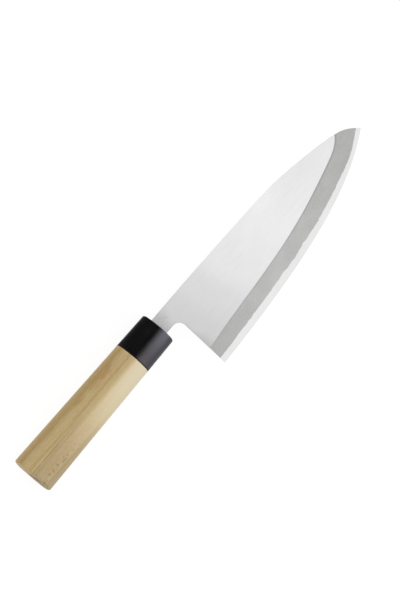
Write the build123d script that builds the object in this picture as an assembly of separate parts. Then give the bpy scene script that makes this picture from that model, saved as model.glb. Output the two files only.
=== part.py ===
from build123d import *
import os

os.makedirs("parts", exist_ok=True)

# A deba: a thick, single-bevelled kitchen knife, pushed by its tang into a plain wooden handle.
# It is drawn lying on its left side. X runs from the butt to the tip along the handle's axis and
# starts at the mouth of the ferrule, Y points to the spine, and Z out of the bevelled face.
# Lengths are millimetres. The finished knife is moved to its own origin at the end.

# Blade, seen square to its bevelled face
blade_reach = 197.8
spine_height = 7.0
blade_depth = 57.2
tip_drop = 23.4
heel_reach = 11.8
choil_lean = 2.3
heel_lead = 8.0

# Blade, through its thickness
spine_thickness = 7.0
tip_thickness = 2.6
flat_fall = 0.6
edge_land = 0.2
spine_ease = 0.3

# Steel layer on the blade's back
weld_height = 2.15
weld_tip_height = 0.55
weld_wave = 0.16
weld_start = 5.0
weld_scarf = 8.0
weld_toe = 0.8

# Hollow ground in the blade's back
hollow_depth = 0.45
hollow_rim = 2.6
hollow_start = 16.0
hollow_tip_gap = 10.0

# Neck and tang
neck_depth = 13.6
neck_fillet = 5.8
tang_length = 96.0
tang_end_depth = 6.5
tang_end_thickness = 3.4

# Handle and ferrule, which share one tapering chestnut section
handle_length = 133.6
butt_height = 31.3
butt_thickness = 25.4
mouth_height = 26.7
mouth_thickness = 21.7
ridge_shift = 2.2
ridge_round = 4.0
butt_round = 1.0
mouth_round = 1.4
shoulder_ease = 0.35
ferrule_length = 27.6
ferrule_wall = 3.0
ferrule_front_wall = 5.0
tenon_end_gap = 0.3
tang_hole_clearance = 0.2
tang_hole_spare = 3.0

# Sealant round the tang
sealant_gap = 0.9
sealant_sink = 0.5

# How far cutting tools reach past what they cut
overrun = 20.0

# Outline of the blade, in shares of its length and drop, from the mouth of the ferrule for the
# spine and from the heel for the edge and for the line where the bevel starts
spine_shares = (
    (0, 0), (0.25, 0.015), (0.48, 0.06), (0.65, 0.123), (0.79, 0.3), (0.905, 0.509), (0.965, 0.726), (1, 1)
)
edge_shares = (
    (-0.045, -0.004), (0.15, 0.037), (0.3, 0.088), (0.6, 0.278), (0.84, 0.6), (0.93, 0.797), (1, 1)
)
bevel_shares = (
    (-0.045, 0.385), (0.148, 0.507), (0.292, 0.565), (0.583, 0.754),
    (0.81, 1.045), (0.893, 1.229), (0.94, 1.56),
)
bevel_overlap_share = 0.4

# Height of the weld line above a straight taper, in shares of its wave, at even steps along it
weld_wave_shares = (
    0, 0.35, 0.1, 0.5, -0.2, 0.1, -0.45, 0.3, 0.05, 0.75, 0.4, 0.9,
    0.55, 1, 0.35, 0.5, -0.1, 0.3, -0.35, 0, 0.2, -0.15, 0, 0,
)

# Depth of the hollow in shares of its full depth, at places along it
hollow_shares = ((0, 0.05), (0.06, 0.6), (0.16, 1), (0.45, 0.9), (0.72, 0.65), (0.9, 0.35), (1, 0.05))

# Directions of the handle's section at its ridge: run along Y, rise along Z
ridge_upper_share = (1, -0.32)
ridge_lower_share = (1, 0.45)

blade_back = -spine_thickness / 2
heel_height = spine_height - blade_depth
tip_height = spine_height - tip_drop
neck_bottom = spine_height - neck_depth
neck_middle = (spine_height + neck_bottom) / 2
wood_front = -ferrule_length
butt = -handle_length
tenon_front = -ferrule_front_wall - tenon_end_gap


def share_points(shares, start, end):
    """Points of a plan curve at shares of the way from one corner to the other."""
    run = end - start
    return [Vector(start.X + along * run.X, start.Y + across * run.Y) for along, across in shares]


def flat_height(point):
    """Height of the blade's flat face above a point of the plan."""
    thinning = (spine_thickness - tip_thickness) * point.X / blade_reach
    fall = flat_fall * (spine_height - point.Y) / blade_depth
    return blade_back + spine_thickness - thinning - fall


def prism(face, low, high):
    """Solid that stands on a plan face between two heights."""
    return Pos(0, 0, low) * extrude(face, amount=high - low, dir=(0, 0, 1))


def curve(points, parameters):
    return Edge.make_spline(points, parameters=parameters)


def blade_outline():
    """Plan of the blade, the neck's top line running straight into the spine."""
    spine = Edge.make_spline(spine_points, tangents=[Vector(1, 0), spine_points[-1] - spine_points[-2]])
    edge = curve(edge_points, edge_parameters)
    back = Polyline(spine_points[0], Vector(0, edge_points[0].Y), edge_points[0])
    return make_face([spine, edge, *back.edges()])


def heel_notch():
    """The space under the neck and in front of the finger, up to the choil."""
    choil_top = heel_reach + choil_lean
    low = heel_height - overrun
    lean_below = choil_lean * overrun / blade_depth
    corner = (choil_top, neck_bottom)
    outline = Polyline(
        (-overrun, neck_bottom), corner, (heel_reach - lean_below, low), (-overrun, low), close=True
    )
    face = make_face(outline)
    concave = face.vertices().sort_by_distance(corner)[0]
    return fillet(concave, neck_fillet)


def bevel_cutter():
    """Everything above the bevel: a ruled surface through the edge and the bevel line, carried past both."""
    low = [Vector(p.X, p.Y, blade_back + edge_land) for p in edge_points]
    high = [Vector(p.X, p.Y, flat_height(p)) for p in bevel_points]
    outer = [a - (b - a) * bevel_overlap_share for a, b in zip(low, high)]
    inner = [b + (b - a) * bevel_overlap_share for a, b in zip(low, high)]
    surface = Face.make_surface_from_curves(curve(outer, edge_parameters), curve(inner, edge_parameters))
    return Solid.extrude(surface, Vector(0, 0, overrun))


def flat_cutter():
    """Everything above the blade's flat face, which thins to the tip and a little to the bevel."""
    corners = [
        Vector(x, y)
        for x, y in (
            (-overrun, spine_height + overrun),
            (blade_reach + overrun, spine_height + overrun),
            (blade_reach + overrun, heel_height - overrun),
            (-overrun, heel_height - overrun),
        )
    ]
    loop = Wire.make_polygon([Vector(p.X, p.Y, flat_height(p)) for p in corners], close=True)
    return Solid.extrude(Face(loop), Vector(0, 0, overrun))


def across(x, depth, thickness):
    """Rectangle square to the handle's axis at a place along it, in line with the neck."""
    return Pos(x, 0, 0) * (Plane.YZ * Pos(neck_middle, 0) * Rectangle(depth, thickness))


def tang():
    """The tang, as the neck at the ferrule's mouth and tapering in depth and thickness to its end."""
    root = across(0, neck_depth, spine_thickness)
    end = across(-tang_length, tang_end_depth, tang_end_thickness)
    return loft([root.face(), end.face()], ruled=True)


def eased_edges(blank):
    """Corners along the spine, the neck and the choil, but not those of the cutting edge."""
    cutting_side = blank.faces().sort_by(Axis.Y)[0].edges()
    lengthwise = blank.edges().filter_by(Axis.Z, reverse=True)
    return [edge for edge in lengthwise if edge not in cutting_side and edge.center().X > spine_ease]


def ground_blade():
    """The blade in one piece, before it is split along the weld."""
    blank = prism(blade_outline(), blade_back, blade_back + spine_thickness)
    blank -= prism(heel_notch(), blade_back - overrun, blade_back + spine_thickness + overrun)
    blank -= flat_cutter()
    blank = fillet(eased_edges(blank), spine_ease)
    blank += tang()
    blank -= bevel_cutter()
    return blank - back_hollow()


def weld_slab():
    """Everything below the weld: a slab with a blunt toe, a slanting scarf and a gently wavy top."""
    steps = len(weld_wave_shares) - 1
    scarf_end = weld_start + weld_scarf
    run = blade_reach + heel_lead - scarf_end
    points = []
    for step, wave in enumerate(weld_wave_shares):
        along = step / steps
        taper = weld_height + (weld_tip_height - weld_height) * along
        points.append((scarf_end + along * run, blade_back + taper + wave * weld_wave))
    low = blade_back - overrun
    toe = (weld_start, blade_back + weld_toe)
    rest = Polyline(points[-1], (points[-1][0], low), (weld_start, low), toe, points[0])
    face = Plane.XZ * make_face([Spline(*points), *rest.edges()])
    return Pos(0, spine_height + overrun, 0) * extrude(face, amount=-blade_depth - 2 * overrun, dir=(0, 1, 0))


def back_hollow():
    """The shallow hollow ground in the blade's back, which leaves a flat rim all round."""
    outline = blade_outline()
    run = blade_reach - hollow_tip_gap - hollow_start
    sections = []
    for along, deep in hollow_shares:
        x = hollow_start + along * run
        chord = outline.intersect(Edge.make_line((x, -blade_depth), (x, blade_depth)))[0].bounding_box()
        low, high = chord.min.Y + hollow_rim, chord.max.Y - hollow_rim
        crown = blade_back + deep * hollow_depth
        arch = ThreePointArc((x, low, blade_back), (x, (low + high) / 2, crown), (x, high, blade_back))
        sections.append(make_face([arch, Line(arch @ 1, arch @ 0)]).face())
    return loft(sections)


def chestnut(height, thickness, x):
    """Section of the handle across its axis: an oval that rises to a ridge on the bevel's side."""
    top = Vector(height / 2, 0)
    bottom = Vector(-height / 2, 0)
    ridge = Vector(-ridge_shift * height / butt_height, thickness / 2)
    back = Vector(0, -thickness / 2)
    outward = Vector(0, 1)
    upper = Spline(top, ridge, tangents=[outward, Vector(-ridge_upper_share[0], -ridge_upper_share[1])])
    lower = Spline(bottom, ridge, tangents=[outward, Vector(*ridge_lower_share)])
    low_half = Spline(bottom, back, top, tangents=[-outward, outward])
    return Pos(x, 0, 0) * (Plane.YZ * make_face([upper, lower, low_half]))


def grip(start, end, inset=0):
    """Length of the tapering handle between two places on its axis, or of a form inset from it."""
    sections = []
    for x in (start, end):
        along = (x - butt) / handle_length
        height = butt_height + (mouth_height - butt_height) * along - 2 * inset
        thickness = butt_thickness + (mouth_thickness - butt_thickness) * along - 2 * inset
        sections.append(chestnut(height, thickness, x).face())
    return loft(sections, ruled=True)


def tang_hole():
    """Blind hole burnt into the wood for the tang, with room past its end."""
    grown = 2 * tang_hole_clearance
    root = across(0, neck_depth + grown, spine_thickness + grown)
    end = across(-tang_length - tang_hole_spare, tang_end_depth + grown, tang_end_thickness + grown)
    return loft([root.face(), end.face()], ruled=True)


def mouth_slot():
    """Slot through the ferrule's front wall, which the tang passes with room for the sealant."""
    grown = 2 * sealant_gap
    section = across(-ferrule_front_wall, neck_depth + grown, spine_thickness + grown)
    return extrude(section, amount=ferrule_front_wall, dir=(1, 0, 0))


def handle_blank():
    """Outside of the handle and ferrule together, with its ridge and both ends rounded."""
    blank = grip(butt, 0)
    ridge = blank.edges().filter_by(lambda edge: edge.length > handle_length).sort_by(Axis.Z)[-1]
    blank = fillet(ridge, ridge_round)
    blank = fillet(blank.faces().sort_by(Axis.X)[-1].edges(), mouth_round)
    return fillet(blank.faces().sort_by(Axis.X)[0].edges(), butt_round)


def wooden_grip(outside, shoulder):
    """Wood behind the shoulder, its corner broken where it meets the ferrule."""
    wood = split(outside, shoulder, Keep.BOTTOM)
    return chamfer(wood.faces().sort_by(Axis.X)[-1].edges(), shoulder_ease)


tip = Vector(blade_reach, tip_height)
heel = Vector(heel_reach, heel_height)
spine_points = share_points(spine_shares, Vector(0, spine_height), tip)
edge_points = share_points(edge_shares, heel, tip)
bevel_points = share_points(bevel_shares, heel, tip)
edge_parameters = [along - edge_shares[0][0] for along, _ in edge_shares]

shoulder = Plane.YZ.offset(wood_front)
sealant_face = Plane.YZ.offset(-sealant_sink)

blade = ground_blade()
weld = weld_slab()
outside = handle_blank()
socket = grip(wood_front - overrun, -ferrule_front_wall, ferrule_wall)
tenon = split(grip(wood_front - overrun, tenon_front, ferrule_wall), shoulder, Keep.TOP)
slot = mouth_slot()

nodes = {
    "blade_cladding": blade - weld,
    "edge_steel": blade & weld,
    "ferrule": split(outside, shoulder, Keep.TOP) - socket - slot,
    "handle": wooden_grip(outside, shoulder) + tenon - tang_hole(),
    "tang_sealant": split(slot, sealant_face, Keep.BOTTOM) - blade,
}

# The knife's own origin is under the middle of its box, on the surface that it lies on
box = Compound(children=[Compound(node.solids()) for node in nodes.values()]).bounding_box()
middle = box.center()
for name, node in nodes.items():
    placed = Pos(-middle.X, -middle.Y, -box.min.Z) * node
    export_step(placed, "parts/" + name + ".step")
print("The handle axis meets the mouth of the ferrule at", -middle.X, -middle.Y, -box.min.Z)
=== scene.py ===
# %% [markdown]
# A deba knife on a white table
#
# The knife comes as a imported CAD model: blade cladding, edge steel, ferrule, handle and sealant,
# each a node that keeps its place. This file gives them their finishes, and sets the table, the
# lamp and the camera. The frame is metres, with X from the butt to the tip, Y to the spine and Z up
# out of the bevelled face.

# %% Load the frame
import bpy
import math
from mathutils import Matrix, Vector


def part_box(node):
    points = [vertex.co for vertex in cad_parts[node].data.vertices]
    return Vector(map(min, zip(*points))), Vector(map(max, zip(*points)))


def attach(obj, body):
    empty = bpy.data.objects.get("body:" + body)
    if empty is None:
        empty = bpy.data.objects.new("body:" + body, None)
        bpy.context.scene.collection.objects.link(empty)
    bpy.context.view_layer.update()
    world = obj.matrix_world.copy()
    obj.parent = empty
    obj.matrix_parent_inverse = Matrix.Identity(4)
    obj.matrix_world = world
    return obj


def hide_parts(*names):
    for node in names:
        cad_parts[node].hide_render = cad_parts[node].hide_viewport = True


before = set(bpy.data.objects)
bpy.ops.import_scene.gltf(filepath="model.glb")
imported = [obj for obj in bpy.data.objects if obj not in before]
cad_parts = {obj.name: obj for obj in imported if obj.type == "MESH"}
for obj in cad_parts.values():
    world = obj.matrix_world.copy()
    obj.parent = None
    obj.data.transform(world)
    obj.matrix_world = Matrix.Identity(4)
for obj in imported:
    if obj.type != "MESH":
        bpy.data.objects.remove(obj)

scene = bpy.context.scene
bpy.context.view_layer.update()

# %% [markdown]
# Places that the lamp, the camera and the finishes need are read from the nodes' boxes, so they
# follow the model. The axis runs along the middle of the handle's width and of the sealant's height,
# and heights on the blade are measured from the lowest point of its cladding.

# %% Places on the knife
handle_low, handle_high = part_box("handle")
ferrule_low, ferrule_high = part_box("ferrule")
cladding_low, cladding_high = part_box("blade_cladding")
_, steel_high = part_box("edge_steel")
sealant_low, sealant_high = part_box("tang_sealant")

mouth_x = ferrule_high.x
shoulder_x = ferrule_low.x
butt_x = handle_low.x
tip_x = steel_high.x
axis_y = (handle_low.y + handle_high.y) / 2
axis_z = (sealant_low.z + sealant_high.z) / 2
spine_y = cladding_high.y
back_z = cladding_low.z
print("mouth at", mouth_x, "axis at", axis_y, axis_z)

# %% [markdown]
# The photograph is taken from nearly straight above with a long lens. The handle's axis runs up to
# the right, and the camera leans a little towards the butt, which is why the ferrule's two rings
# bow towards the blade. The camera is built from those two angles and from how many pixels a
# millimetre covers.

# %% Camera
image_height_px = 600
px_per_mm = 1.460
axis_angle = math.radians(49.53)
lean_to_butt = math.radians(8.3)
camera_distance = 5.0
camera_reach = 20
sensor_mm = 36.0
aim = Vector((0.0013, 0.0080, axis_z))

right = Vector((math.cos(axis_angle), -math.sin(axis_angle), 0))
up = Vector((math.sin(axis_angle), math.cos(axis_angle), 0))
lean = Matrix.Rotation(-lean_to_butt, 3, "Y")
right, up, back = lean @ right, lean @ up, lean @ Vector((0, 0, 1))

camera_data = bpy.data.cameras.new("camera")
camera = bpy.data.objects.new("camera", camera_data)
scene.collection.objects.link(camera)
view_height = image_height_px / px_per_mm / 1000
camera_data.sensor_width = sensor_mm
camera_data.lens = sensor_mm * camera_distance / view_height
camera_data.clip_end = camera_reach
turned = Matrix((right, up, back)).transposed().to_4x4()
camera.matrix_world = Matrix.Translation(aim + back * camera_distance) @ turned
scene.camera = camera
print("lens", round(camera_data.lens), "mm")

# %% [markdown]
# Each finish is a node tree. These helpers keep the trees short: `node` adds one node and sets its
# inputs, and a value that is another node's output becomes a link.

# %% Helpers for node trees
def node(tree, kind, inputs=None, **settings):
    made = tree.nodes.new(kind)
    for name, value in settings.items():
        setattr(made, name, value)
    for name, value in (inputs or {}).items():
        if isinstance(value, bpy.types.NodeSocket):
            tree.links.new(value, made.inputs[name])
        else:
            made.inputs[name].default_value = value
    return made


def math_node(tree, operation, *values, clamp=False):
    made = node(tree, "ShaderNodeMath", dict(enumerate(values)), operation=operation, use_clamp=clamp)
    return made.outputs[0]


def vector_math(tree, operation, first, second):
    second_input = "Scale" if operation == "SCALE" else 1
    made = node(tree, "ShaderNodeVectorMath", {0: first, second_input: second}, operation=operation)
    return made.outputs[0]


def smooth_step(tree, value, low, high):
    made = node(tree, "ShaderNodeMapRange", {"Value": value, "From Min": low, "From Max": high},
                interpolation_type="SMOOTHSTEP")
    return made.outputs["Result"]


def mix_colour(tree, factor, first, second, blend="MIX"):
    made = node(tree, "ShaderNodeMix", {0: factor, 6: first, 7: second}, data_type="RGBA", blend_type=blend)
    return made.outputs[2]


def swayed(tree, value, mask, amount, clamp=False):
    """A value moved to both sides by a mask whose middle is a half."""
    centred = math_node(tree, "SUBTRACT", mask, 0.5)
    return math_node(tree, "MULTIPLY_ADD", centred, amount, value, clamp=clamp)


def srgb(red, green, blue):
    """A colour given as it shows on screen, 0 to 255, in the linear values that a socket takes."""
    linear = [((c / 255 + 0.055) / 1.055) ** 2.4 if c > 10 else c / 255 / 12.92 for c in (red, green, blue)]
    return (*linear, 1.0)


def new_material(name):
    material = bpy.data.materials.new(name)
    material.use_nodes = True
    tree = material.node_tree
    return material, tree, tree.nodes["Principled BSDF"]


def object_place(tree, centre=(0, 0, 0)):
    """Object coordinates in metres from a point on the knife, as a vector and as its three parts."""
    coordinates = node(tree, "ShaderNodeTexCoord").outputs["Object"]
    moved = vector_math(tree, "SUBTRACT", coordinates, tuple(centre))
    return moved, node(tree, "ShaderNodeSeparateXYZ", {0: moved}).outputs


def noise(tree, vector, stretch, detail=2.0, roughness=0.5):
    """Noise whose cells have their own size along each axis, given as cells per metre."""
    scaled = vector_math(tree, "MULTIPLY", vector, stretch)
    made = node(tree, "ShaderNodeTexNoise", {"Vector": scaled, "Scale": 1.0, "Detail": detail,
                                             "Roughness": roughness})
    return made.outputs[0]


def band(tree, value, centre, half_width, soft):
    """One inside a band round a value, and zero outside it."""
    away = math_node(tree, "ABSOLUTE", math_node(tree, "SUBTRACT", value, centre))
    return smooth_step(tree, away, half_width + soft, half_width)


def ramp(tree, value, low, high, stops):
    """A value that follows listed stops between two ends, each a share of the way and a level."""
    share = node(tree, "ShaderNodeMapRange", {"Value": value, "From Min": low, "From Max": high}).outputs[0]
    made = node(tree, "ShaderNodeValToRGB", {"Fac": share})
    elements = made.color_ramp.elements
    made.color_ramp.interpolation = "EASE"
    elements.remove(elements[1])
    for place, (along, level) in enumerate(stops):
        element = elements[0] if place == 0 else elements.new(along)
        element.position = along
        element.color = (level, level, level, 1)
    return made.outputs[0]


def tinted(tree, factor, colour, tint):
    """A colour darkened or warmed by a tint where the mask says so."""
    return mix_colour(tree, factor, colour, tint, "MULTIPLY")


def new_group(name, inputs, outputs):
    """An empty shader group with named sockets, and the nodes that hold them."""
    group = bpy.data.node_groups.new(name, "ShaderNodeTree")
    for socket, kind, default in inputs:
        made = group.interface.new_socket(socket, in_out="INPUT", socket_type="NodeSocket" + kind)
        if default is not None:
            made.default_value = default
    for socket, kind in outputs:
        group.interface.new_socket(socket, in_out="OUTPUT", socket_type="NodeSocket" + kind)
    return group, group.nodes.new("NodeGroupInput").outputs, group.nodes.new("NodeGroupOutput").inputs


def use_group(tree, group, values):
    return node(tree, "ShaderNodeGroup", values, node_tree=group)


# %% [markdown]
# Ground steel is covered in fine lines left by the stone. The finishes of both steels share them, so
# they are one node group: noise stretched along the grinding direction gives a mask for
# colour and roughness, and the same mask through a Bump node gives the normal.

# %% Grind lines, a group for all the steel
def make_grind_lines():
    group, given, out = new_group("grind_lines", (
        ("Vector", "Vector", None), ("Along", "Float", 40.0), ("Across", "Float", 2500.0),
        ("Depth", "Float", 0.2)), (("Mask", "Float"), ("Normal", "Vector")))
    stretch = node(group, "ShaderNodeCombineXYZ", {"X": given["Along"], "Y": given["Across"],
                                                   "Z": given["Across"]}).outputs[0]
    lines = noise(group, given["Vector"], stretch, 3.0, 0.6)
    bump = node(group, "ShaderNodeBump", {"Strength": given["Depth"], "Distance": 0.00002, "Height": lines})
    group.links.new(lines, out["Mask"])
    group.links.new(bump.outputs[0], out["Normal"])
    return group


grind_lines = make_grind_lines()

# %% [markdown]
# The blade is two steels forge-welded together, and the grind lays the weld bare on the bevel. Above
# it the soft iron is a clouded grey, below it the hard steel is bright, and the line between them
# wanders, because the hammer pushed the two together unevenly. Both nodes use this group, so the
# line runs through one finish and not along a seam of the mesh. The bevel itself is found by how far
# a point lies under the plane of the blade's flat, and a fine dark line is left right at its start.

# %% The bevel, a group for both steels
flat_height_at_mouth = 0.007
flat_fall_to_tip = 0.0044 / 0.1978
flat_fall_to_edge = 0.0006 / 0.0572
weld_height_at_heel = 0.00215
weld_height_at_tip = 0.00055
weld_start_x = mouth_x + 0.013
weld_sway = 0.0010
weld_teeth = 0.0006
weld_calm_from = 0.09
weld_calm_to = 0.18
weld_calm_share = 0.3


def make_bevel_group():
    group, given, out = new_group("two_steels_on_the_bevel", (
        ("Soft", "Color", srgb(202, 202, 201)), ("Hard", "Color", srgb(235, 235, 235))),
        (("Colour", "Color"), ("Bevel", "Float"), ("Hard Steel", "Float")))
    place, part = object_place(group, (mouth_x, spine_y, back_z))
    fall = math_node(group, "MULTIPLY_ADD", part["X"], -flat_fall_to_tip, flat_height_at_mouth)
    flat = math_node(group, "MULTIPLY_ADD", part["Y"], flat_fall_to_edge, fall)
    under = math_node(group, "SUBTRACT", flat, part["Z"])
    slope = node(group, "ShaderNodeNewGeometry").outputs["True Normal"]
    slope = node(group, "ShaderNodeSeparateXYZ", {0: slope}).outputs["Z"]
    bevel = math_node(group, "MULTIPLY", smooth_step(group, under, 0.00002, 0.00007),
                      smooth_step(group, slope, 0.7, 0.85))

    along = node(group, "ShaderNodeMapRange", {"Value": part["X"], "From Min": weld_start_x - mouth_x,
                                               "From Max": tip_x - mouth_x, "To Min": weld_height_at_heel,
                                               "To Max": weld_height_at_tip}).outputs[0]
    sway = noise(group, place, (34, 34, 0), 1.5, 0.5)
    teeth = noise(group, place, (230, 160, 0), 3.0, 0.62)
    calm = node(group, "ShaderNodeMapRange", {"Value": part["X"], "From Min": weld_calm_from,
                                              "From Max": weld_calm_to, "To Min": 1.0,
                                              "To Max": weld_calm_share}).outputs[0]
    sway = math_node(group, "MULTIPLY", math_node(group, "SUBTRACT", sway, 0.5), calm)
    teeth = math_node(group, "MULTIPLY", math_node(group, "SUBTRACT", teeth, 0.5), calm)
    weld = math_node(group, "MULTIPLY_ADD", sway, weld_sway, along)
    weld = math_node(group, "MULTIPLY_ADD", teeth, weld_teeth, weld)
    hard = smooth_step(group, math_node(group, "SUBTRACT", weld, part["Z"]), -0.00003, 0.00005)

    cloud = smooth_step(group, noise(group, place, (55, 90, 90), 3.0, 0.6), 0.3, 0.7)
    speck = smooth_step(group, noise(group, place, (900, 1500, 1500), 3.0, 0.65), 0.3, 0.75)
    # painted reflection: the soft iron on the bevel is a little darker towards the heel and the tip than
    # mid-blade
    middle = band(group, part["X"], 0.095, 0.0, 0.085)
    iron = tinted(group, math_node(group, "MULTIPLY", cloud, 0.5), given["Soft"], srgb(238, 238, 238))
    iron = tinted(group, math_node(group, "MULTIPLY", speck, 0.7), iron, srgb(236, 236, 236))
    iron = tinted(group, math_node(group, "SUBTRACT", 1.0, middle), iron, srgb(243, 243, 243))
    start_line = smooth_step(group, under, 0.00032, 0.00008)
    iron = tinted(group, start_line, iron, srgb(226, 226, 228))
    bright = tinted(group, cloud, given["Hard"], srgb(251, 251, 251))
    group.links.new(mix_colour(group, hard, iron, bright), out["Colour"])
    group.links.new(bevel, out["Bevel"])
    group.links.new(math_node(group, "MULTIPLY", hard, bevel), out["Hard Steel"])
    return group


bevel_steels = make_bevel_group()

# %% [markdown]
# The flat of the blade is a fine satin. Its tone is a painted reflection and shade: greyest in the neck
# beside the ferrule, and brightest in the middle of the blade.

# %% Soft-iron cladding
def cladding_material():
    material, tree, shader = new_material("clad_iron")
    place, part = object_place(tree, (mouth_x, spine_y, back_z))
    bevel = use_group(tree, bevel_steels, {}).outputs
    lines = use_group(tree, grind_lines, {"Vector": place, "Along": 70.0, "Across": 2400.0,
                                          "Depth": 0.22}).outputs
    cloud = noise(tree, place, (22, 34, 34), 2.0)
    drift = swayed(tree, part["X"], cloud, 0.03)
    drift = math_node(tree, "MULTIPLY_ADD", part["Y"], 0.24, drift)
    # painted reflection and shade: the flat's tone runs from greyest at the neck to brightest mid-blade
    painted_reflection_tone = ramp(tree, drift, -0.01, 0.19, (
        (0.0, 0.42), (0.06, 0.52), (0.12, 0.67), (0.25, 0.74), (0.38, 0.84), (0.6, 0.88),
        (0.8, 0.845), (1.0, 0.83)))
    satin = tinted(tree, smooth_step(tree, cloud, 0.3, 0.75), painted_reflection_tone, srgb(251, 251, 252))
    satin = tinted(tree, smooth_step(tree, lines["Mask"], 0.35, 0.75), satin, srgb(249, 249, 250))
    # the flat is darker in patches within 14 mm of the neck
    neck_patches = smooth_step(tree, noise(tree, place, (420, 420, 420), 3.0, 0.65), 0.52, 0.72)
    near_neck = smooth_step(tree, part["X"], 0.014, 0.002)
    satin = tinted(tree, math_node(tree, "MULTIPLY", neck_patches, near_neck), satin, srgb(226, 226, 226))
    colour = mix_colour(tree, bevel["Bevel"], satin, bevel["Colour"])
    tree.links.new(colour, shader.inputs["Base Color"])
    rough = math_node(tree, "MULTIPLY_ADD", bevel["Bevel"], 0.16, 0.36)
    rough = math_node(tree, "MULTIPLY_ADD", bevel["Hard Steel"], -0.2, rough)
    rough = math_node(tree, "MULTIPLY_ADD", lines["Mask"], 0.08, rough)
    tree.links.new(rough, shader.inputs["Roughness"])
    tree.links.new(lines["Normal"], shader.inputs["Normal"])
    shader.inputs["Metallic"].default_value = 1.0
    return material


# %% [markdown]
# The hard steel is one finer, brighter grind all over: the strip along the edge and the hollow back.
# Where the ragged weld leaves soft iron over it on the bevel, the shared group shows that.

# %% Hard edge steel
def edge_material():
    material, tree, shader = new_material("edge_hard_steel")
    place, _ = object_place(tree, (mouth_x, spine_y, back_z))
    bevel = use_group(tree, bevel_steels, {}).outputs
    lines = use_group(tree, grind_lines, {"Vector": place, "Along": 45.0, "Across": 4200.0,
                                          "Depth": 0.12}).outputs
    cloud = noise(tree, place, (60, 60, 60), 3.0)
    steel = mix_colour(tree, cloud, srgb(226, 227, 228), srgb(238, 239, 240))
    steel = tinted(tree, smooth_step(tree, lines["Mask"], 0.3, 0.8), steel, srgb(246, 246, 247))
    colour = mix_colour(tree, bevel["Bevel"], steel, bevel["Colour"])
    tree.links.new(colour, shader.inputs["Base Color"])
    soft = math_node(tree, "SUBTRACT", bevel["Bevel"], bevel["Hard Steel"])
    rough = math_node(tree, "MULTIPLY_ADD", soft, 0.24, 0.24)
    rough = math_node(tree, "MULTIPLY_ADD", lines["Mask"], 0.1, rough)
    tree.links.new(rough, shader.inputs["Roughness"])
    tree.links.new(lines["Normal"], shader.inputs["Normal"])
    shader.inputs["Metallic"].default_value = 1.0
    return material


# %% [markdown]
# The ferrule is black horn, polished but not glassy: nearly no colour of its own, a soft gloss that
# is tighter at the mouth where the buffing wheel met it, and faint streaks along it. Its half on the
# cutting edge's side is grey in the photograph, a reflection of soft light. That grey is a painted
# reflection, laid on as colour by place, paler towards the mouth and darker at the lower rim, because
# a lamp that does it by gloss burns out the steel. A brownish line marks the joint with the wood.

# %% Black ferrule
def ferrule_material():
    material, tree, shader = new_material("polished_black")
    place, part = object_place(tree, (shoulder_x, axis_y, axis_z))
    streaks = noise(tree, place, (45, 420, 420), 3.0, 0.6)
    patches = noise(tree, place, (110, 110, 110), 2.0)
    colour = mix_colour(tree, smooth_step(tree, streaks, 0.3, 0.7), srgb(4, 4, 5), srgb(15, 13, 14))
    colour = mix_colour(tree, smooth_step(tree, patches, 0.5, 0.75), colour, srgb(19, 16, 17))
    facing = node(tree, "ShaderNodeNewGeometry").outputs["Normal"]
    facing = node(tree, "ShaderNodeSeparateXYZ", {0: facing}).outputs["Z"]
    # painted reflection: the grey half on the cutting edge's side, paler towards the mouth, darker at the
    # lower rim
    sideways = swayed(tree, part["Y"], patches, 0.0012)
    painted_gloss_half = math_node(tree, "MULTIPLY", smooth_step(tree, sideways, 0.0002, -0.0062),
                      smooth_step(tree, facing, 0.0, 0.35))
    rimward = smooth_step(tree, part["Y"], -0.0075, -0.012)
    painted_gloss_grey = mix_colour(tree, smooth_step(tree, part["X"], 0.006, 0.026), srgb(88, 85, 89), srgb(101, 102, 110))
    painted_gloss_grey = mix_colour(tree, rimward, painted_gloss_grey, srgb(70, 69, 73))
    colour = mix_colour(tree, painted_gloss_half, colour, painted_gloss_grey)
    rim = smooth_step(tree, part["X"], 0.0012, 0.0)
    colour = mix_colour(tree, rim, colour, srgb(34, 26, 16))
    tree.links.new(colour, shader.inputs["Base Color"])
    rough = ramp(tree, part["X"], 0.0, mouth_x - shoulder_x, ((0.0, 0.42), (0.35, 0.34), (1.0, 0.27)))
    rough = math_node(tree, "MULTIPLY_ADD", streaks, 0.08, rough)
    tree.links.new(rough, shader.inputs["Roughness"])
    fine = noise(tree, place, (160, 1900, 1900), 2.0)
    bump = node(tree, "ShaderNodeBump", {"Strength": 0.12, "Distance": 0.00003, "Height": fine})
    tree.links.new(bump.outputs[0], shader.inputs["Normal"])
    shader.inputs["Specular IOR Level"].default_value = 0.06
    shader.inputs["Specular Tint"].default_value = (0.94, 0.94, 1.0, 1.0)
    return material


# %% [markdown]
# Magnolia is pale and even, with growth layers that show as long bands. The log's centre lies off to
# the spine's side, under the handle, so the distance to it gives each layer's tone on every face,
# and the butt shows the same layers as arcs. On top of the layers come the fibres. Over the half on
# the cutting edge's side come a painted sheen that is strongest towards the ferrule, painted shade
# that greys it towards the butt, and a little painted shade towards its lower rim. Then come two faint
# brown stains nearer the ferrule, one fine dark line and a row of open pores near the butt, painted
# shade in patches on the butt's face and corner, and a painted highlight on the rim where the corner
# at the ferrule was broken with sandpaper.

# %% Magnolia wood
pith = (butt_x, axis_y + 0.030, axis_z - 0.024)
pith_to_spine_side = 0.0265
pith_to_edge_side = 0.060


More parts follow.
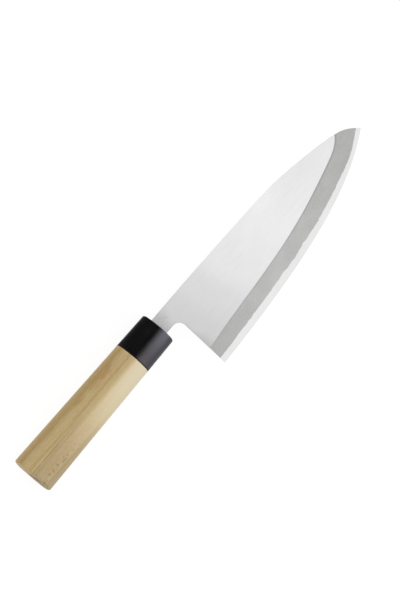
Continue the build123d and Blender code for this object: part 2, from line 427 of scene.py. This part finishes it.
def wood_material():
    material, tree, shader = new_material("magnolia")
    place, part = object_place(tree, (butt_x, axis_y, axis_z))
    length = shoulder_x - butt_x
    _, log = object_place(tree, pith)
    reach = math_node(tree, "SQRT", math_node(tree, "ADD", math_node(tree, "POWER", log["Y"], 2.0),
                                              math_node(tree, "POWER", log["Z"], 2.0)))
    sway = noise(tree, place, (14, 40, 40), 2.0)
    reach = swayed(tree, reach, sway, 0.0035)
    layers = ramp(tree, reach, pith_to_spine_side, pith_to_edge_side, (
        (0.0, 0.5), (0.12, 0.62), (0.2, 0.5), (0.3, 0.3), (0.38, 0.54), (0.46, 0.62), (0.5, 0.5),
        (0.54, 0.42), (0.56, 0.68), (0.66, 0.64), (0.76, 0.72), (0.88, 0.66), (1.0, 0.74)))
    layer_x = math_node(tree, "MULTIPLY", part["X"], 0.02)
    layer_place = node(tree, "ShaderNodeCombineXYZ", {"X": layer_x, "Y": reach}).outputs[0]
    fine_layers = noise(tree, layer_place, (60, 950, 1), 3.0, 0.6)
    fibres = noise(tree, place, (55, 1700, 1700), 4.0, 0.62)
    flecks = noise(tree, place, (330, 1500, 1500), 3.0, 0.6)
    tone = swayed(tree, layers, fine_layers, 0.55)
    tone = swayed(tree, tone, fibres, 0.5)
    tone = swayed(tree, tone, flecks, 0.5, clamp=True)
    colour = mix_colour(tree, tone, srgb(158, 122, 64), srgb(226, 205, 155))

    # painted sheen: the cutting edge's side is made creamier, most strongly towards the ferrule
    painted_sheen = math_node(tree, "MULTIPLY", smooth_step(tree, part["Y"], 0.0004, -0.006),
                      smooth_step(tree, part["X"], 0.015, length))
    colour = mix_colour(tree, math_node(tree, "MULTIPLY", painted_sheen, 0.85), colour, srgb(224, 212, 184))
    # painted shade: the cutting edge's side greys towards the butt, where the light fades
    painted_butt_shade = math_node(tree, "MULTIPLY", smooth_step(tree, part["Y"], 0.0035, -0.003),
                       smooth_step(tree, part["X"], 0.075, 0.01))
    colour = tinted(tree, painted_butt_shade, colour, srgb(225, 224, 233))
    # painted shade: a slight cool darkening towards the lower rim on the cutting edge's side
    colour = tinted(tree, smooth_step(tree, part["Y"], -0.0085, -0.0135), colour, srgb(241, 243, 246))
    stain = math_node(tree, "ADD", band(tree, part["X"], 0.083, 0.004, 0.014),
                      math_node(tree, "MULTIPLY", band(tree, part["X"], 0.058, 0.001, 0.007), 0.7))
    stain = math_node(tree, "MULTIPLY", stain, band(tree, part["Y"], 0.0078, 0.0003, 0.0035))
    patchy = smooth_step(tree, noise(tree, place, (120, 400, 400), 3.0), 0.25, 0.6)
    stain = math_node(tree, "MULTIPLY", stain, patchy)
    colour = tinted(tree, stain, colour, srgb(236, 218, 196))

    wander = swayed(tree, part["Y"], sway, 0.002)
    crack = band(tree, wander, 0.0006, 0.00008, 0.00025)
    crack = math_node(tree, "MULTIPLY", crack, smooth_step(tree, part["X"], 0.045, 0.02))
    crack = math_node(tree, "MULTIPLY", crack, smooth_step(tree, flecks, 0.3, 0.6))
    colour = tinted(tree, crack, colour, srgb(196, 176, 140))

    pore_place = vector_math(tree, "MULTIPLY", place, (420, 330, 0))
    pores = node(tree, "ShaderNodeTexVoronoi", {"Vector": pore_place, "Scale": 1.0,
                                                "Randomness": 0.85}).outputs["Distance"]
    pores = smooth_step(tree, pores, 0.55, 0.2)
    pores = math_node(tree, "MULTIPLY", pores, band(tree, part["Y"], -0.0090, 0.0007, 0.0012))
    pores = math_node(tree, "MULTIPLY", pores, smooth_step(tree, part["X"], 0.056, 0.03))
    colour = tinted(tree, math_node(tree, "MULTIPLY", pores, 0.8), colour, srgb(214, 200, 180))

    # painted highlight on the rim where the corner at the ferrule is broken
    painted_rim_highlight = smooth_step(tree, part["X"], length - 0.0006, length - 0.00025)
    colour = mix_colour(tree, math_node(tree, "MULTIPLY", painted_rim_highlight, 0.75), colour, srgb(238, 224, 190))
    # painted shade, broken into patches, on the lower part of the butt's face and corner
    painted_butt_rim_shade = smooth_step(tree, part["X"], 0.0007, 0.0002)
    butt_shade_patches = smooth_step(tree, noise(tree, place, (90, 90, 90)), 0.5, 0.66)
    painted_butt_rim_shade = math_node(tree, "MULTIPLY", painted_butt_rim_shade, butt_shade_patches)
    painted_butt_rim_shade = math_node(tree, "MULTIPLY", painted_butt_rim_shade, smooth_step(tree, part["Y"], 0.004, 0.0))
    colour = tinted(tree, painted_butt_rim_shade, colour, srgb(176, 158, 130))
    tree.links.new(colour, shader.inputs["Base Color"])

    height = math_node(tree, "MULTIPLY_ADD", pores, -0.8, fibres)
    bump = node(tree, "ShaderNodeBump", {"Strength": 0.22, "Distance": 0.00008, "Height": height})
    tree.links.new(bump.outputs[0], shader.inputs["Normal"])
    rough = math_node(tree, "MULTIPLY_ADD", fibres, 0.12, 0.5)
    tree.links.new(rough, shader.inputs["Roughness"])
    shader.inputs["Specular IOR Level"].default_value = 0.25
    return material


# %% [markdown]
# The sealant is a dull, nearly black resin, a little lumpy from being smeared in.

# %% Sealant
def sealant_material():
    material, tree, shader = new_material("dark_resin")
    place, _ = object_place(tree)
    lumps = noise(tree, place, (700, 700, 700))
    colour = mix_colour(tree, lumps, srgb(22, 20, 19), srgb(40, 37, 34))
    tree.links.new(colour, shader.inputs["Base Color"])
    bump = node(tree, "ShaderNodeBump", {"Strength": 0.6, "Distance": 0.0002, "Height": lumps})
    tree.links.new(bump.outputs[0], shader.inputs["Normal"])
    shader.inputs["Roughness"].default_value = 0.5
    return material


# %% [markdown]
# A geometry tree takes its values from the modifier, which knows each input by an identifier. This
# helper adds the inputs and keeps the identifiers by name.

# %% Helper for geometry trees
def tree_inputs(tree, sockets):
    """Adds a geometry tree's named inputs, and returns their identifiers by name."""
    made = {}
    for name, kind, default in sockets:
        socket = tree.interface.new_socket(name, in_out="INPUT", socket_type="NodeSocket" + kind)
        if default is not None:
            socket.default_value = default
        made[name] = socket.identifier
    return made


# %% [markdown]
# The grip's shape follows a rule: the same chestnut section all along, growing towards the butt, with
# its corners broken. Geometry Nodes make it again from the CAD's wood as a regular skin. A grid is
# wrapped into rings round the handle's axis, a ray from outside finds where each point meets the
# CAD's surface, and then the point sinks by the depth of the fibres and of the plane's long strokes,
# so the relief is real geometry and never stands proud of the wood. The rings crowd together at both
# ends of the grip, where the corners are. The first and last rings close to a point, and the rings
# past the shoulder make the tenon.

# %% The grip's rings
rings_on_grip = 300
rings_on_tenon = 8
points_round = 144
end_crowding = 0.92
ring_gap = 0.00002
ray_radius = 0.03
fibre_depth = 0.00004
fibre_stretch = (60, 1400, 1400)
stroke_depth = 0.00006
stroke_stretch = (12, 160, 160)
merge_distance = 0.0000005
sharp_angle = math.radians(30)


def rings_along(tree, given, ring):
    """How far along X each ring stands, and one for the rings that make the tenon."""
    share = math_node(tree, "DIVIDE", math_node(tree, "SUBTRACT", ring, 1.0), rings_on_grip - 2.0, clamp=True)
    ease = math_node(tree, "SINE", math_node(tree, "MULTIPLY", share, math.tau))
    share = math_node(tree, "MULTIPLY_ADD", ease, -end_crowding / math.tau, share)
    butt = math_node(tree, "ADD", given["Butt"], ring_gap)
    shoulder = math_node(tree, "SUBTRACT", given["Shoulder"], ring_gap)
    grip_run = math_node(tree, "SUBTRACT", shoulder, butt)
    on_grip = math_node(tree, "MULTIPLY_ADD", share, grip_run, butt)
    past = math_node(tree, "DIVIDE", math_node(tree, "SUBTRACT", ring, float(rings_on_grip)),
                     rings_on_tenon - 2.0, clamp=True)
    tenon_start = math_node(tree, "ADD", given["Shoulder"], ring_gap)
    tenon_stop = math_node(tree, "SUBTRACT", given["Tenon End"], ring_gap)
    tenon_run = math_node(tree, "SUBTRACT", tenon_stop, tenon_start)
    on_tenon = math_node(tree, "MULTIPLY_ADD", past, tenon_run, tenon_start)
    is_tenon = math_node(tree, "GREATER_THAN", ring, rings_on_grip - 0.5)
    return node(tree, "ShaderNodeMix", {0: is_tenon, 2: on_grip, 3: on_tenon}).outputs[0], is_tenon


# %% The grip's skin
def wood_skin(tree, given, on_axis, outward, is_tenon):
    """The points where rays from outside meet the CAD's wood, sunk by the relief on the grip."""
    far = vector_math(tree, "ADD", on_axis, vector_math(tree, "SCALE", outward, ray_radius))
    inward = vector_math(tree, "SCALE", outward, -1.0)
    wood = node(tree, "GeometryNodeObjectInfo", {"Object": given["Wood"]}, transform_space="ORIGINAL")
    ray = node(tree, "GeometryNodeRaycast", {"Target Geometry": wood.outputs["Geometry"],
                                             "Source Position": far, "Ray Direction": inward,
                                             "Ray Length": ray_radius})
    hit = ray.outputs["Hit Position"]
    fibres = noise(tree, hit, fibre_stretch, 2.0)
    strokes = noise(tree, hit, stroke_stretch, 1.0)
    sink = math_node(tree, "MULTIPLY", fibres, given["Fibre Depth"])
    sink = math_node(tree, "MULTIPLY_ADD", strokes, given["Stroke Depth"], sink)
    sink = math_node(tree, "MULTIPLY", sink, math_node(tree, "SUBTRACT", 1.0, is_tenon))
    return vector_math(tree, "SUBTRACT", hit, vector_math(tree, "SCALE", outward, sink))


# %% The grip's tree
def make_grip_tree():
    tree = bpy.data.node_groups.new("planed_grip", "GeometryNodeTree")
    names = tree_inputs(tree, (
        ("Geometry", "Geometry", None), ("Wood", "Object", None), ("Finish", "Material", None),
        ("Butt", "Float", 0.0), ("Shoulder", "Float", 0.0), ("Tenon End", "Float", 0.0),
        ("Axis", "Vector", None), ("Fibre Depth", "Float", fibre_depth),
        ("Stroke Depth", "Float", stroke_depth)))
    tree.interface.new_socket("Geometry", in_out="OUTPUT", socket_type="NodeSocketGeometry")
    given = tree.nodes.new("NodeGroupInput").outputs
    out = tree.nodes.new("NodeGroupOutput").inputs

    rings = rings_on_grip + rings_on_tenon
    grid = node(tree, "GeometryNodeMeshGrid", {"Size X": 1.0, "Size Y": 1.0, "Vertices X": rings,
                                               "Vertices Y": points_round + 1}).outputs["Mesh"]
    spot = node(tree, "GeometryNodeInputPosition").outputs[0]
    spot = node(tree, "ShaderNodeSeparateXYZ", {0: spot}).outputs
    ring = math_node(tree, "MULTIPLY", math_node(tree, "ADD", spot["X"], 0.5), rings - 1.0)
    ring = math_node(tree, "ROUND", ring)
    angle = math_node(tree, "MULTIPLY", math_node(tree, "ADD", spot["Y"], 0.5), math.tau)
    along, is_tenon = rings_along(tree, given, ring)

    centre = node(tree, "ShaderNodeSeparateXYZ", {0: given["Axis"]}).outputs
    on_axis = node(tree, "ShaderNodeCombineXYZ", {"X": along, "Y": centre["Y"], "Z": centre["Z"]}).outputs[0]
    outward = node(tree, "ShaderNodeCombineXYZ", {"X": 0.0, "Y": math_node(tree, "COSINE", angle),
                                                  "Z": math_node(tree, "SINE", angle)}).outputs[0]
    skin = wood_skin(tree, given, on_axis, outward, is_tenon)
    is_pole = math_node(tree, "ADD", math_node(tree, "LESS_THAN", ring, 0.5),
                        math_node(tree, "GREATER_THAN", ring, rings - 1.5))
    place = node(tree, "ShaderNodeMix", {0: is_pole, 4: skin, 5: on_axis}, data_type="VECTOR").outputs[1]

    wrapped = node(tree, "GeometryNodeSetPosition", {"Geometry": grid, "Position": place}).outputs[0]
    closed = node(tree, "GeometryNodeMergeByDistance", {"Geometry": wrapped,
                                                        "Distance": merge_distance}).outputs[0]
    bend = node(tree, "GeometryNodeInputMeshEdgeAngle").outputs[0]
    gentle = node(tree, "FunctionNodeCompare", {0: bend, 1: sharp_angle}, operation="LESS_THAN").outputs[0]
    smooth = node(tree, "GeometryNodeSetShadeSmooth", {"Geometry": closed, "Shade Smooth": gentle},
                  domain="EDGE").outputs[0]
    smooth = node(tree, "GeometryNodeSetShadeSmooth", {"Geometry": smooth, "Shade Smooth": True}).outputs[0]
    real = node(tree, "GeometryNodeRealizeInstances", {0: smooth}).outputs[0]
    done = node(tree, "GeometryNodeSetMaterial", {"Geometry": real, "Material": given["Finish"]}).outputs[0]
    tree.links.new(done, out[0])
    return tree, names


# %% The planed grip
def planed_grip(finish):
    tree, names = make_grip_tree()
    maker = bpy.data.objects.new("grip_maker", bpy.data.meshes.new("grip_maker"))
    scene.collection.objects.link(maker)
    modifier = maker.modifiers.new("planed_grip", "NODES")
    modifier.node_group = tree
    modifier[names["Wood"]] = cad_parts["handle"]
    modifier[names["Finish"]] = finish
    modifier[names["Butt"]] = butt_x
    modifier[names["Shoulder"]] = shoulder_x
    modifier[names["Tenon End"]] = handle_high.x
    modifier[names["Axis"]] = (0.0, axis_y, axis_z)
    evaluated = maker.evaluated_get(bpy.context.evaluated_depsgraph_get())
    mesh = bpy.data.meshes.new_from_object(evaluated)
    bpy.data.objects.remove(maker)
    mesh.name = "planed_grip"
    piece = bpy.data.objects.new("planed_grip", mesh)
    scene.collection.objects.link(piece)
    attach(piece, "root")
    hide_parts("handle")
    print("grip", len(mesh.vertices), "points", len(mesh.polygons), "faces")


# %% [markdown]
# Each finish goes into all the material slots of its node. The grip is made here too, because it
# takes the wood's finish.

# %% Finishes on the nodes
finishes = {
    "blade_cladding": cladding_material(),
    "edge_steel": edge_material(),
    "ferrule": ferrule_material(),
    "handle": wood_material(),
    "tang_sealant": sealant_material(),
}
for name, material in finishes.items():
    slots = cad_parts[name].material_slots
    for slot in slots:
        slot.material = material
    print(name, "slots", len(slots))
planed_grip(finishes["handle"])

# %% [markdown]
# The table is a wide white sheet. The camera and mirror-like surfaces see it mostly as plain white, so
# the background matches the photograph's, and the rest is real diffuse white, which keeps the knife's
# soft shadow. The room further down uses the same mask of what is seen.

# %% Table
table_half_width = 2.5
plain_white_share = 0.8
plain_white_level = 1.12


def seen_directly(tree):
    """One for rays from the camera, from a glossy surface or through a clear one."""
    path = node(tree, "ShaderNodeLightPath").outputs
    seen = math_node(tree, "MAXIMUM", path["Is Camera Ray"], path["Is Glossy Ray"])
    return math_node(tree, "MAXIMUM", seen, path["Is Transmission Ray"])


def white_table():
    mesh = bpy.data.meshes.new("table")
    far = table_half_width
    corners = [(-far, -far, 0), (far, -far, 0), (far, far, 0), (-far, far, 0)]
    mesh.from_pydata(corners, [], [(0, 1, 2, 3)])
    table = bpy.data.objects.new("table", mesh)
    scene.collection.objects.link(table)
    material, tree, shader = new_material("white_table")
    shader.inputs["Base Color"].default_value = (0.8, 0.8, 0.8, 1)
    shader.inputs["Roughness"].default_value = 0.9
    plain = node(tree, "ShaderNodeEmission", {"Color": (1, 1, 1, 1), "Strength": plain_white_level})
    share = math_node(tree, "MULTIPLY", seen_directly(tree), plain_white_share)
    mixed = node(tree, "ShaderNodeMixShader", {0: share, 1: shader.outputs[0], 2: plain.outputs[0]})
    tree.links.new(mixed.outputs[0], tree.nodes["Material Output"].inputs["Surface"])
    mesh.materials.append(material)


white_table()

# %% [markdown]
# A white room lights the knife evenly, and one soft panel stands low on the cutting edge's side,
# beside the heel. It brightens the handle on that side and fades towards the butt because it is
# close. It is hidden from glossy rays, so that the bevel and the edge don't burn out. The room shows
# plain white to the camera and in the steel, and lights everything else at a lower level.

# %% Lamp and room
room_light = 0.76
panel_place = (0.04, -0.38, 0.20)
panel_target = (-0.04, axis_y, axis_z)
panel_size = (0.26, 0.14)
panel_radiance = 5.5


def panel(name, place, target, size, radiance):
    data = bpy.data.lights.new(name, "AREA")
    data.shape = "RECTANGLE"
    data.size, data.size_y = size
    data.energy = radiance * math.pi * size[0] * size[1]
    lamp = bpy.data.objects.new(name, data)
    lamp.location = place
    lamp.rotation_mode = "QUATERNION"
    lamp.rotation_quaternion = (Vector(place) - Vector(target)).to_track_quat("Z", "Y")
    lamp.visible_camera = False
    lamp.visible_glossy = False
    scene.collection.objects.link(lamp)


panel("edge_side", panel_place, panel_target, panel_size, panel_radiance)

world = bpy.data.worlds.new("room")
world.use_nodes = True
scene.world = world
world_tree = world.node_tree
room_level = math_node(world_tree, "MULTIPLY_ADD", seen_directly(world_tree), 1.0 - room_light, room_light)
background = world_tree.nodes["Background"]
background.inputs["Color"].default_value = (1, 1, 1, 1)
world_tree.links.new(room_level, background.inputs["Strength"])

scene.view_settings.view_transform = "Standard"
